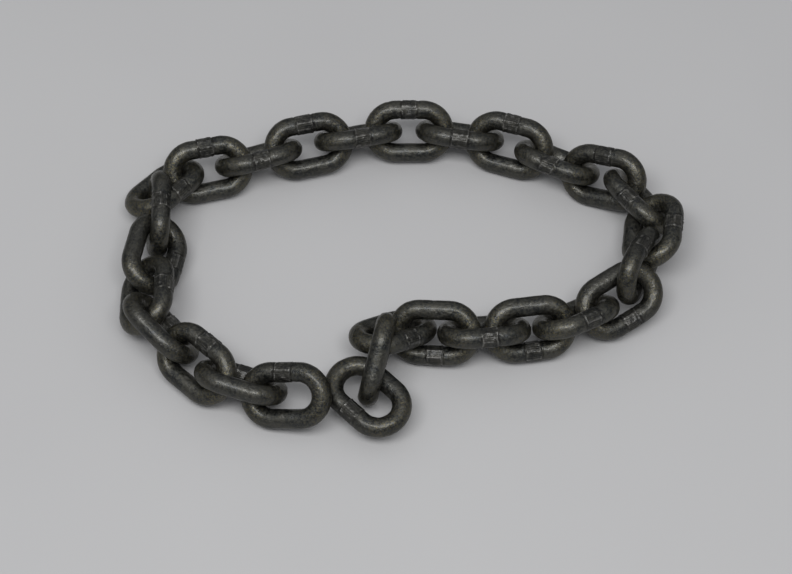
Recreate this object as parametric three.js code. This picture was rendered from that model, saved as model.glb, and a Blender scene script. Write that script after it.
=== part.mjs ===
// A metre of welded short-link steel chain, lying on a floor in an open loop. Millimetres, +Z up.
// Its twenty-eight links are all alike: a round bar is bent into a ring of two straight shanks and
// two half-round crowns, and its ends are butt-welded in the middle of one shank, where the weld's
// trimmed flash stays as a slightly thicker collar.
import * as THREE from 'three';

// The link
const WIRE = 13;             // diameter of the bar
const PITCH = 36;            // length inside the ring, which is what a link adds to the chain
const WIDTH = 43;            // width over both shanks
const COLLAR_LENGTH = 11;    // length of the weld's collar along the shank
const COLLAR_RISE = 0.5;     // how far the collar stands proud of the bar

// The facets
const SIDES = 10;            // flats round the bar
const CROWN_STEPS = 7;       // steps round each crown, an odd number so that one flat faces straight out

const BEND = (WIDTH - WIRE) / 2;             // radius of the bar's centre line round a crown
const SHANK = PITCH + 2 * WIRE - WIDTH;      // straight length of a shank

// How each link lies, from the free end on the left round to the free end on the right:
// x and y of its middle, the heading of its length, its roll about that length, where 0 is flat
// with the weld on the left and 90 is upright with the weld on top, the pitch that lifts its
// leading end, and the lift off the floor of its lowest point. Millimetres and degrees.
const LAY = [
  [-70, -101, 169, 137, -16, 3],
  [-99, -90, 164, -139, 6, 4],
  [-128, -75, 137, 136, 1, 3],
  [-152, -50, 136, -131, 14, 4],
  [-163, -22, 91, 142, -5, 5],
  [-160, 11, 80, -145, -1, 6],
  [-159, 43, 92, 101, 5, 2],
  [-157, 70, 50, 152, -5, 3],
  [-128, 85, 14, 45, 0, 2],
  [-94, 95, 19, 137, 0, 3],
  [-60, 105, 14, 46, 0, 3],
  [-26, 113, 13, 134, -2, 3],
  [9, 117, 1, 52, -1, 3],
  [44, 115, -8, 138, -3, 2],
  [78, 106, -19, 52, 1, 1],
  [110, 92, -27, 141, 0, 2],
  [141, 77, -24, 56, 13, 0],
  [164, 57, -54, 133, -1, 2],
  [171, 28, -98, 31, 4, 10],
  [160, -2, -116, 98, 17, 3],
  [146, -25, -149, -33, -9, 4],
  [117, -39, -148, 41, 9, 3],
  [87, -48, -171, -48, 2, 2],
  [57, -52, -171, 40, 5, 6],
  [25, -51, 173, -47, -6, 2],
  [-2, -51, -145, 26, 20, 3],
  [-12, -76, -108, -100, -38, 0],
  [-18, -99, -44, -173, -5, 9],
];

// Steel darkened by its bending, welding and oil, a little different from link to link.
const STEEL_TONES = [0x4a4a44, 0x45453f, 0x4e4d47, 0x41423d];

// The stations along the bar's centre line, once round the ring: where each one is, the way it
// faces out from the ring's inside, and the bar's radius there.
function barStations() {
  const stations = [];
  const crown = (end) => {
    for (let step = 0; step <= CROWN_STEPS; step++) {
      const turn = Math.PI * (step / CROWN_STEPS - 0.5);
      const out = new THREE.Vector3(end * Math.cos(turn), end * Math.sin(turn), 0);
      const middle = new THREE.Vector3((end * SHANK) / 2, 0, 0).addScaledVector(out, BEND);
      stations.push({ middle, out, radius: WIRE / 2 });
    }
  };
  const collarEdge = (x, radii) => {
    for (const radius of radii) {
      const middle = new THREE.Vector3(x, BEND, 0);
      stations.push({ middle, out: new THREE.Vector3(0, 1, 0), radius });
    }
  };
  crown(1);
  collarEdge(COLLAR_LENGTH / 2, [WIRE / 2, WIRE / 2 + COLLAR_RISE]);
  collarEdge(-COLLAR_LENGTH / 2, [WIRE / 2 + COLLAR_RISE, WIRE / 2]);
  crown(-1);
  return stations;
}

// The skin over those stations: a ring of points at each one, with a flat facing straight out and
// straight in, joined to the next ring and closed on itself.
function linkGeometry() {
  const stations = barStations();
  const up = new THREE.Vector3(0, 0, 1);
  const points = [];
  const triangles = [];
  stations.forEach(({ middle, out, radius }, station) => {
    for (let side = 0; side < SIDES; side++) {
      const angle = (2 * Math.PI * (side + 0.5)) / SIDES;
      const point = middle.clone()
        .addScaledVector(out, radius * Math.cos(angle))
        .addScaledVector(up, radius * Math.sin(angle));
      points.push(point.x, point.y, point.z);
      const next = ((station + 1) % stations.length) * SIDES;
      const here = station * SIDES;
      const beside = (side + 1) % SIDES;
      triangles.push(here + side, next + side, next + beside);
      triangles.push(here + side, next + beside, here + beside);
    }
  });
  const geometry = new THREE.BufferGeometry();
  geometry.setAttribute('position', new THREE.Float32BufferAttribute(points, 3));
  geometry.setIndex(triangles);
  geometry.computeVertexNormals();
  return geometry;
}

// One link as it lies: turned, and then let down until its lowest point is at its lift.
function layLink(name, geometry, tone, [x, y, heading, roll, pitch, lift]) {
  const steel = new THREE.MeshStandardMaterial({ color: tone, roughness: 0.42, metalness: 0.85 });
  const link = new THREE.Mesh(geometry, steel);
  link.name = name;
  const [yaw, tip, lean] = [heading, -pitch, roll].map(THREE.MathUtils.degToRad);
  link.rotation.set(lean, tip, yaw, 'ZYX');
  const lowest = new THREE.Box3().setFromObject(link, true).min.z;
  link.position.set(x, y, lift - lowest);
  return link;
}

const chain = new THREE.Group();
const ring = linkGeometry();
LAY.forEach((lie, index) => {
  const name = `link_${String(index + 1).padStart(2, '0')}`;
  chain.add(layLink(name, ring, STEEL_TONES[index % STEEL_TONES.length], lie));
});

// The origin is on the floor, under the middle of the chain's box.
chain.updateMatrixWorld(true);
const box = new THREE.Box3().setFromObject(chain, true);
chain.position.set(-(box.min.x + box.max.x) / 2, -(box.min.y + box.max.y) / 2, -box.min.z);

export default chain;
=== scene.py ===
"""The looks of a metre of welded short-link steel chain, lying on a pale floor in an open loop.

Each of its links is a detailed bar built round the place and direction of its own CAD node. Sizes
of a link are in millimetres in its own frame: X along it, Y towards its welded shank, Z through it.
"""

import math

import bmesh
import bpy
import numpy as np
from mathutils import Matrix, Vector


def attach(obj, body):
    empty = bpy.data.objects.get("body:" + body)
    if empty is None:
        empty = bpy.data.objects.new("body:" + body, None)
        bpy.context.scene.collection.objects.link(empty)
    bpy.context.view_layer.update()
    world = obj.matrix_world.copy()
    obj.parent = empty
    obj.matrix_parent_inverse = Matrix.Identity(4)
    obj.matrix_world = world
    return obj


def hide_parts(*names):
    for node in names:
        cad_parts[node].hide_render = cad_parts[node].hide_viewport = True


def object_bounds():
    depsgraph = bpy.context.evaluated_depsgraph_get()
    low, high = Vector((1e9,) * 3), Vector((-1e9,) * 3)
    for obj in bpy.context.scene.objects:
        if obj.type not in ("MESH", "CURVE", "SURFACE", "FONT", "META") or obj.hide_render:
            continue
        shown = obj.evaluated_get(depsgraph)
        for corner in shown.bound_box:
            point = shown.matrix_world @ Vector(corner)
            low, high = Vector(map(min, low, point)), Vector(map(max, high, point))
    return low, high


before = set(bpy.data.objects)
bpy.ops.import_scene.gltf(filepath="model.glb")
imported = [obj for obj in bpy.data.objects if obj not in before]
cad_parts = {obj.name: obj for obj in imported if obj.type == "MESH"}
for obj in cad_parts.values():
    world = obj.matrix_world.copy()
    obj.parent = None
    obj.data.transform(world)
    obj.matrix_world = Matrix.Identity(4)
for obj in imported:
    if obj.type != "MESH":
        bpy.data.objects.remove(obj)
cad_box = [list(corner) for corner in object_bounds()]

MM = 0.001

# The link, as in the CAD
WIRE = 13.0                # diameter of the bar
PITCH = 36.0               # length inside the ring
WIDTH = 43.0               # width over both shanks
CAD_SIDES = 10             # flats round the CAD's bar
BEND = (WIDTH - WIRE) / 2  # radius of the bar's centre line round a crown
SHANK = PITCH + 2 * WIRE - WIDTH
AHEAD = (1.0, 0.34, 0.0)   # no link lies square to this direction, so it tells a link's ends apart

# The detailed skin
RADIUS = 6.40              # of the round bar, which stays inside the corners of the CAD's
SKIN_LIMIT = 6.98          # no point of the bar is further from its centre line than this
AROUND = 120               # points round the bar
CROWN_STATIONS = 56        # stations along each crown
PLAIN_STATIONS = 20        # stations along the shank with no weld
WELD_STEP = 0.22           # spacing of the stations over the weld
FAR = 99.0                 # stands for the distance to the weld everywhere else

# The bar's surface
OVAL = 0.07                # how far bending flattened the crowns
WAVES = (0.045, 15)        # height and length of its long unevenness
LUMPS = (0.026, 4.5)       # of its shorter one
CREASES = (0.018, 2.1)     # and of its finest, which is stronger on the crowns
KNOCKS = 40
KNOCK_WIDTH = (0.45, 1.5)
KNOCK_DEPTH = (0.05, 0.30)

# The weld's collar
COLLAR = 10.6              # its length
COLLAR_SPREAD = (0.9, 1.04)  # its shortest and longest on any link, as shares of that
LEAN = 0.7                 # how far out of square it usually sits
STRAY = 0.5                # and how far off the shank's middle
WAVER = (0.22, 6)          # height and length of the waver in its edges
COLLAR_FLATS = 8           # sides that trimming left on it
COLLAR_APOTHEM = 6.30      # from the centre line to the middle of each of them
FLAT_SKEW = (0.13, 0.10)   # radians that they stray from even spacing, once and twice round
FLAT_TRIM = (0.6, 1.0)     # how much of their height trimming left
FLAT_WAVES = (0.07, 4)     # height and length of their unevenness
COLLAR_RIBS = 28           # fine ribs round it
RIB_DEPTH = 0.17
RIM_INSET = 0.45           # from the collar's end to its raised rim
RIM_WIDTH = 0.30
RIM_HEIGHT = 0.24
GROOVE_OFFSET = 0.7        # from the collar's end to the groove that the welding jaws left
GROOVE_WIDTH = 0.50
GROOVE_DEPTH = 0.30
FINE_REACH = 2.0           # how far the close stations go beyond each end of the collar

FIRST_SEED = 1000          # each link adds its own number
GRAIN_STRIDE = 61.0        # how far apart the links' patches lie in the steel's noise

# Colours of the steel
BLUE_BLACK = (0.038, 0.041, 0.043, 1)
OLIVE_GREY = (0.081, 0.080, 0.073, 1)
MOTTLED = (0.112, 0.111, 0.095, 1)
BROWN_FILM = (0.195, 0.166, 0.080, 1)
DARKER_LINK = (0.028, 0.029, 0.030, 1)
# painted shade for the weld's grooves and the hollows between its ribs
SHADE_IN_WELD = (0.014, 0.013, 0.012, 1)
# bare steel where worn and at flaked specks, and painted highlight on the weld's ridges
BARE_STEEL_AND_HIGHLIGHT = (0.42, 0.41, 0.39, 1)

# The floor, the camera and the lights, in metres
FLOOR_REACH = 5            # from its middle to each edge
PAINT = (0.560, 0.558, 0.566, 1)
PALER_PAINT = (0.585, 0.584, 0.590, 1)
LENS = 106.7               # focal length in millimetres
LOOKED_AT = (-0.0039, -0.0035, 0.0)
CAMERA_FROM = (0.0, -0.9140, 1.2726)  # the camera's place, counted from there
LAMP_PLACE = (-0.18, -0.95, 2.3)
LAMP_SIZE = (2.3, 0.75)
LAMP_POWER = 37.0
WALL_LIGHT = 0.09          # strength of the light from the horizon
CEILING_LIGHT = 0.43       # and from overhead
CEILING_EDGE = 0.9         # how high a direction points where the ceiling's full light starts


def stations():
    """Once round the ring: each station's x and y, the angle that it faces out at, how far into a
    crown it is, from 0 at a shank to 1 in the middle, and its distance along the shank from the
    weld."""
    rows = []
    for end in (1, -1):
        for step in range(CROWN_STATIONS):
            share = step / CROWN_STATIONS
            turn = math.pi * (share - 0.5) + (0 if end > 0 else math.pi)
            x = end * SHANK / 2 + BEND * math.cos(turn)
            rows.append((x, BEND * math.sin(turn), turn, math.sin(math.pi * share), FAR))
        side = math.copysign(math.pi / 2, end)
        if end > 0:
            reach = COLLAR / 2 + FINE_REACH
            fine = int(2 * reach / WELD_STEP)
            xs = [SHANK / 2, (SHANK / 2 + reach) / 2]
            xs += [reach * (1 - 2 * i / fine) for i in range(fine + 1)]
            xs += [-(SHANK / 2 + reach) / 2]
            rows += [(x, BEND, side, 0.0, x) for x in xs]
        else:
            xs = [SHANK * (i / PLAIN_STATIONS - 0.5) for i in range(PLAIN_STATIONS)]
            rows += [(x, -BEND, side, 0.0, FAR) for x in xs]
    return np.array(rows)


def ripples(points, wavelength, rng, waves=28):
    """A smooth random field of about unit size, in lumps about a wavelength apart."""
    directions = rng.normal(size=(waves, 3))
    directions /= np.linalg.norm(directions, axis=1, keepdims=True)
    directions *= 2 * math.pi / wavelength * rng.uniform(0.6, 1.4, (waves, 1))
    phases = rng.uniform(0, 2 * math.pi, waves)
    return np.cos(points @ directions.T + phases).sum(1) * math.sqrt(2 / waves)


def bell(distance, width):
    return np.exp(-0.5 * (distance / width) ** 2)


def bar_rise(ring, crown, angle, rng):
    """How far the bar stands off its round: a little oval, uneven and knocked here and there."""
    rise = -OVAL * crown * np.cos(2 * angle)
    rise += WAVES[0] * ripples(ring, WAVES[1], rng) + LUMPS[0] * ripples(ring, LUMPS[1], rng)
    rise += CREASES[0] * (0.5 + crown) * ripples(ring, CREASES[1], rng)
    for _ in range(KNOCKS):
        knock = ring[rng.integers(len(ring))]
        width, depth = rng.uniform(*KNOCK_WIDTH), rng.uniform(*KNOCK_DEPTH)
        rise -= depth * bell(np.linalg.norm(ring - knock, axis=1), width)
    return rise


def add_weld(rise, ring, weld, angle, rng):
    """Puts the weld on the bar: an eight-sided collar with trimming ribs between two broken rims,
    and a groove outside each rim. Returns the new rise, the ridges' lighter colour, partly from wear
    and partly painted highlight, and the painted shade in its grooves and between its ribs."""
    lean = LEAN * rng.normal() * np.cos(angle - rng.uniform(0, 2 * math.pi))
    place = weld + lean + STRAY * rng.normal() + WAVER[0] * ripples(ring, WAVER[1], rng)
    half = COLLAR / 2 * rng.uniform(*COLLAR_SPREAD)
    collar = np.clip((half - np.abs(place)) / 0.5 + 0.5, 0, 1)
    collar = collar * collar * (3 - 2 * collar)
    side = 2 * math.pi / COLLAR_FLATS
    skew = FLAT_SKEW[0] * np.sin(angle + rng.uniform(0, 6))
    skew = skew + FLAT_SKEW[1] * np.sin(2 * angle + rng.uniform(0, 6))
    across = (angle + skew + rng.uniform(0, side)) % side - side / 2
    flat = COLLAR_APOTHEM / np.cos(across) - RADIUS
    flat = flat * rng.uniform(*FLAT_TRIM) + FLAT_WAVES[0] * ripples(ring, FLAT_WAVES[1], rng)
    corner = bell(np.abs(across) - side / 2, 0.055)
    rib = 0.5 + 0.5 * np.cos(COLLAR_RIBS * angle + 0.6 * ripples(ring, 7, rng))
    broken = np.clip(0.45 + 0.65 * ripples(ring, 4, rng), 0, 1)
    sharp = rng.uniform(0.35, 1.0, 2)
    rim = sharp[0] * bell(place - half + RIM_INSET, RIM_WIDTH)
    rim = rim + sharp[1] * bell(place + half - RIM_INSET, RIM_WIDTH)
    rim *= broken
    bite = np.clip(0.55 + 0.6 * ripples(ring, 6, rng), 0.1, 1)
    groove = bell(np.abs(place) - half - GROOVE_OFFSET, GROOVE_WIDTH) * bite
    rise = rise * (1 - collar) + collar * (flat + RIB_DEPTH * (rib - 0.5) * broken)
    rise += RIM_HEIGHT * rim - GROOVE_DEPTH * groove
    # Lighter steel on the rims, the flats' edges and the ribs' crests: partly wear, partly painted
    # highlight.
    ridge_wear_and_highlight = 0.8 * rim + collar * (0.55 * corner * broken + 0.16 * rib**3 * broken)
    # Painted shade: darker in the grooves and between the ribs, and a little darker over the whole
    # collar.
    weld_shade = np.clip(groove + collar * (0.30 + 0.35 * (1 - rib)), 0, 1)
    return rise, ridge_wear_and_highlight, weld_shade


def link_skin(rng):
    """A link's points, where they are on the plain ring, and what its steel needs to know of each:
    its lighter colour from wear and painted highlight, how far into a crown, and its painted shade
    in the weld."""
    rows = stations()
    turns = 2 * math.pi * np.arange(AROUND) / AROUND
    x, y, facing, crown, weld = (np.repeat(column, AROUND) for column in rows.T)
    angle = np.tile(turns, len(rows))
    out = np.stack([np.cos(facing), np.sin(facing), np.zeros_like(facing)], 1)
    up = np.array([0.0, 0.0, 1.0])
    normal = out * np.cos(angle)[:, None] + up * np.sin(angle)[:, None]
    middle = np.stack([x, y, np.zeros_like(x)], 1)
    ring = middle + normal * RADIUS

    rise = bar_rise(ring, crown, angle, rng)
    rise, ridge_wear_and_highlight, weld_shade = add_weld(rise, ring, weld, angle, rng)
    reach = np.minimum(RADIUS + rise, SKIN_LIMIT)
    seat = bell(np.abs(crown - 1), 0.10) * bell(np.cos(angle) + 1, 0.22)
    # Wear where links rub inside each crown, added to the weld's ridges, which are partly painted
    # highlight.
    wear_and_highlight = np.clip(ridge_wear_and_highlight + 0.3 * seat, 0, 1)
    points = middle + normal * reach[:, None]
    return points, ring, {"wear_and_highlight": wear_and_highlight, "crown": crown, "weld_shade": weld_shade}


def skin_faces(count):
    station, side = np.meshgrid(np.arange(count), np.arange(AROUND), indexing="ij")
    here, along = station * AROUND, (station + 1) % count * AROUND
    beside = (side + 1) % AROUND
    return np.stack([here + side, along + side, along + beside, here + beside], -1)


def link_frame(node):
    """A CAD link's middle and axes, found from its own points: it is longest along X, thinnest
    along Z, and the weld puts more of its points on its +Y side."""
    points = np.array([vertex.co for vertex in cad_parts[node].data.vertices], float)
    points = np.unique(points.round(6), axis=0)
    mean = points.mean(0)
    axes = np.linalg.eigh(np.cov((points - mean).T))[1].T
    along = axes[2] * np.sign(axes[2] @ AHEAD)
    across = axes[1]
    reach = points @ across
    if mean @ across < (reach.min() + reach.max()) / 2:
        across, reach = -across, -reach
    through = np.cross(along, across)
    plain_side = MM * (BEND + WIRE / 2 * math.cos(math.pi / CAD_SIDES))
    middle = along * (np.ptp(points @ along) / 2 + (points @ along).min())
    middle = middle + through * (np.ptp(points @ through) / 2 + (points @ through).min())
    middle = middle + across * (reach.min() + plain_side)
    return middle, np.stack([along, across, through])


def build_link(node, number, steel):
    rng = np.random.default_rng(FIRST_SEED + number)
    points, ring, marks = link_skin(rng)
    middle, axes = link_frame(node)
    mesh = bpy.data.meshes.new("steel_" + node)
    faces = skin_faces(len(points) // AROUND).reshape(-1, 4)
    laid = np.clip(points * MM @ axes + middle, *cad_box)
    mesh.from_pydata(laid.tolist(), [], faces.tolist())
    mesh.update()
    grain = mesh.attributes.new("grain_at", "FLOAT_VECTOR", "POINT")
    grain_at = ring + number * GRAIN_STRIDE
    grain.data.foreach_set("vector", grain_at.astype(np.float32).ravel())
    marks["tone"] = np.full(len(points), rng.uniform(0, 1))
    for name, values in marks.items():
        attribute = mesh.attributes.new(name, "FLOAT", "POINT")
        attribute.data.foreach_set("value", values.astype(np.float32))
    mesh.polygons.foreach_set("use_smooth", [True] * len(mesh.polygons))
    mesh.materials.append(steel)
    piece = bpy.data.objects.new("steel_" + node, mesh)
    bpy.context.scene.collection.objects.link(piece)
    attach(piece, node)
    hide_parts(node)


class Nodes:
    """A material's node tree, with a short way to add and join nodes."""

    def __init__(self, name):
        self.material = bpy.data.materials.new(name)
        self.material.use_nodes = True
        self.tree = self.material.node_tree
        self.tree.nodes.clear()
        self.shader = self.add("ShaderNodeBsdfPrincipled")
        end = self.add("ShaderNodeOutputMaterial")
        self.join(self.shader.outputs["BSDF"], end.inputs["Surface"])

    def add(self, kind, **values):
        node = self.tree.nodes.new(kind)
        for key, value in values.items():
            setattr(node, key, value)
        return node

    def join(self, source, socket):
        self.tree.links.new(source, socket)

    def put(self, socket, value):
        if isinstance(value, bpy.types.NodeSocket):
            self.join(value, socket)
        else:
            socket.default_value = value

    def attribute(self, name, output="Fac"):
        return self.add("ShaderNodeAttribute", attribute_name=name).outputs[output]

    def noise(self, at, scale, detail=3.0, rough=0.55):
        node = self.add("ShaderNodeTexNoise")
        self.join(at, node.inputs["Vector"])
        node.inputs["Scale"].default_value = scale
        node.inputs["Detail"].default_value = detail
        node.inputs["Roughness"].default_value = rough
        return node.outputs["Fac"]

    def math(self, operation, first, second):
        node = self.add("ShaderNodeMath", operation=operation)
        self.put(node.inputs[0], first)
        self.put(node.inputs[1], second)
        return node.outputs[0]

    def span(self, value, low, high, to_low=0.0, to_high=1.0):
        """Value's stretch from low to high, spread over to_low to to_high and held there beyond."""
        node = self.add("ShaderNodeMapRange")
        for name, given in zip(
            ("Value", "From Min", "From Max", "To Min", "To Max"),
            (value, low, high, to_low, to_high),
        ):
            self.put(node.inputs[name], given)
        return node.outputs["Result"]

    def blend(self, share, first, second):
        """From the first colour, at share 0, to the second, at share 1."""
        node = self.add("ShaderNodeMix", data_type="RGBA")
        self.put(node.inputs["Factor"], share)
        self.put(node.inputs[6], first)
        self.put(node.inputs[7], second)
        return node.outputs[2]

    def bump(self, height, strength, distance):
        node = self.add("ShaderNodeBump")
        node.inputs["Strength"].default_value = strength
        node.inputs["Distance"].default_value = distance
        self.join(height, node.inputs["Height"])
        return node


def chain_steel():
    """Dark oiled mill scale: blue-black to olive-grey, brown round the crowns, lighter from wear and
    painted highlight on the weld's ridges, and darker with painted shade in the weld.
    """
    nodes = Nodes("chain_steel")
    at = nodes.attribute("grain_at", "Vector")
    wear_and_highlight, crown = nodes.attribute("wear_and_highlight"), nodes.attribute("crown")
    weld_shade, tone = nodes.attribute("weld_shade"), nodes.attribute("tone")
    patches = nodes.noise(at, 0.11, 3.0)
    mottle = nodes.noise(at, 0.55, 4.0)
    grain = nodes.noise(at, 1.5, 4.0, 0.7)
    specks = nodes.noise(at, 0.95, 3.0, 0.75)

    scale = nodes.blend(nodes.span(patches, 0.42, 0.58), BLUE_BLACK, OLIVE_GREY)
    scale = nodes.blend(nodes.span(mottle, 0.46, 0.62, 0.0, 0.75), scale, MOTTLED)
    near_crown = nodes.span(crown, 0.1, 0.8, 0.2, 1.0)
    film = nodes.math("MULTIPLY", near_crown, nodes.span(specks, 0.50, 0.60))
    scale = nodes.blend(nodes.math("MULTIPLY", film, 0.62), scale, BROWN_FILM)
    scale = nodes.blend(nodes.span(tone, 0.0, 1.0, 0.0, 0.30), scale, DARKER_LINK)
    # Painted shade in the weld: its grooves, the hollows between its ribs, and the collar as a
    # whole.
    scale = nodes.blend(nodes.math("MULTIPLY", weld_shade, 0.75), scale, SHADE_IN_WELD)
    flaked = nodes.span(grain, 0.60, 0.69, 0.0, 0.55)
    # Lighter steel from wear and flaked specks, and painted highlight on the weld's rims, edges and
    # rib crests.
    bare_and_highlight = nodes.math("MULTIPLY", wear_and_highlight, nodes.span(grain, 0.35, 0.6, 0.35, 1.0))
    bare_and_highlight = nodes.math("MAXIMUM", bare_and_highlight, flaked)
    colour = nodes.blend(nodes.math("MULTIPLY", bare_and_highlight, 0.75), scale, BARE_STEEL_AND_HIGHLIGHT)

    rough = nodes.span(mottle, 0.38, 0.62, 0.31, 0.60)
    rough = nodes.math("ADD", rough, nodes.span(grain, 0.4, 0.7, -0.06, 0.10))
    rough = nodes.math("ADD", rough, nodes.math("MULTIPLY", weld_shade, 0.18))

    lumps = nodes.bump(mottle, 0.95, 0.0005)
    pits = nodes.bump(grain, 0.40, 0.00025)
    nodes.join(lumps.outputs["Normal"], pits.inputs["Normal"])

    shader = nodes.shader
    nodes.join(colour, shader.inputs["Base Color"])
    nodes.join(rough, shader.inputs["Roughness"])
    nodes.join(pits.outputs["Normal"], shader.inputs["Normal"])
    shader.inputs["Metallic"].default_value = 0.9
    shader.inputs["Specular Tint"].default_value = (0.52, 0.52, 0.50, 1)
    shader.inputs["Coat Weight"].default_value = 0.42
    shader.inputs["Coat Roughness"].default_value = 0.12
    shader.inputs["Coat IOR"].default_value = 1.38
    return nodes.material


def floor_paint():
    nodes = Nodes("floor_paint")
    at = nodes.add("ShaderNodeTexCoord").outputs["Object"]
    cloud = nodes.noise(at, 2.5, 3.0)
    colour = nodes.blend(nodes.span(cloud, 0.3, 0.7), PAINT, PALER_PAINT)
    nodes.join(colour, nodes.shader.inputs["Base Color"])
    nodes.join(nodes.span(cloud, 0.3, 0.7, 0.75, 0.85), nodes.shader.inputs["Roughness"])
    return nodes.material


def build_floor():
    mesh = bpy.data.meshes.new("floor")
    grid = bmesh.new()
    bmesh.ops.create_grid(grid, x_segments=8, y_segments=8, size=FLOOR_REACH)
    grid.to_mesh(mesh)
    grid.free()
    mesh.materials.append(floor_paint())
    floor = bpy.data.objects.new("floor", mesh)
    bpy.context.scene.collection.objects.link(floor)


def aim(thing, place, target):
    thing.location = place
    thing.rotation_mode = "QUATERNION"
    thing.rotation_quaternion = (Vector(target) - Vector(place)).to_track_quat("-Z", "Y")
    bpy.context.scene.collection.objects.link(thing)


def add_camera():
    lens = bpy.data.cameras.new("camera")
    lens.lens = LENS
    camera = bpy.data.objects.new("camera", lens)
    target = Vector(LOOKED_AT)
    aim(camera, target + Vector(CAMERA_FROM), target)
    bpy.context.scene.camera = camera


def add_lamp(name, place, size, power):
    lamp = bpy.data.lights.new(name, "AREA")
    lamp.shape = "RECTANGLE"
    lamp.size, lamp.size_y = size
    lamp.energy = power
    aim(bpy.data.objects.new(name, lamp), place, (0.0, 0.0, 0.0))


def add_room():
    """A pale ceiling over darker walls, with one long lamp above and in front."""
    world = bpy.data.worlds.new("room")
    world.use_nodes = True
    tree = world.node_tree
    direction = tree.nodes.new("ShaderNodeTexCoord").outputs["Generated"]
    split = tree.nodes.new("ShaderNodeSeparateXYZ")
    tree.links.new(direction, split.inputs[0])
    height = tree.nodes.new("ShaderNodeMapRange")
    height.inputs["From Min"].default_value = 0.0
    height.inputs["From Max"].default_value = CEILING_EDGE
    height.inputs["To Min"].default_value = WALL_LIGHT
    height.inputs["To Max"].default_value = CEILING_LIGHT
    tree.links.new(split.outputs["Z"], height.inputs["Value"])
    background = tree.nodes["Background"]
    background.inputs["Color"].default_value = (0.975, 0.985, 1.0, 1)
    tree.links.new(height.outputs["Result"], background.inputs["Strength"])
    bpy.context.scene.world = world
    add_lamp("long_lamp", LAMP_PLACE, LAMP_SIZE, LAMP_POWER)
    bpy.context.scene.view_settings.view_transform = "Standard"


steel = chain_steel()
for number, node in enumerate(sorted(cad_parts), start=1):
    build_link(node, number, steel)
build_floor()
add_camera()
add_room()
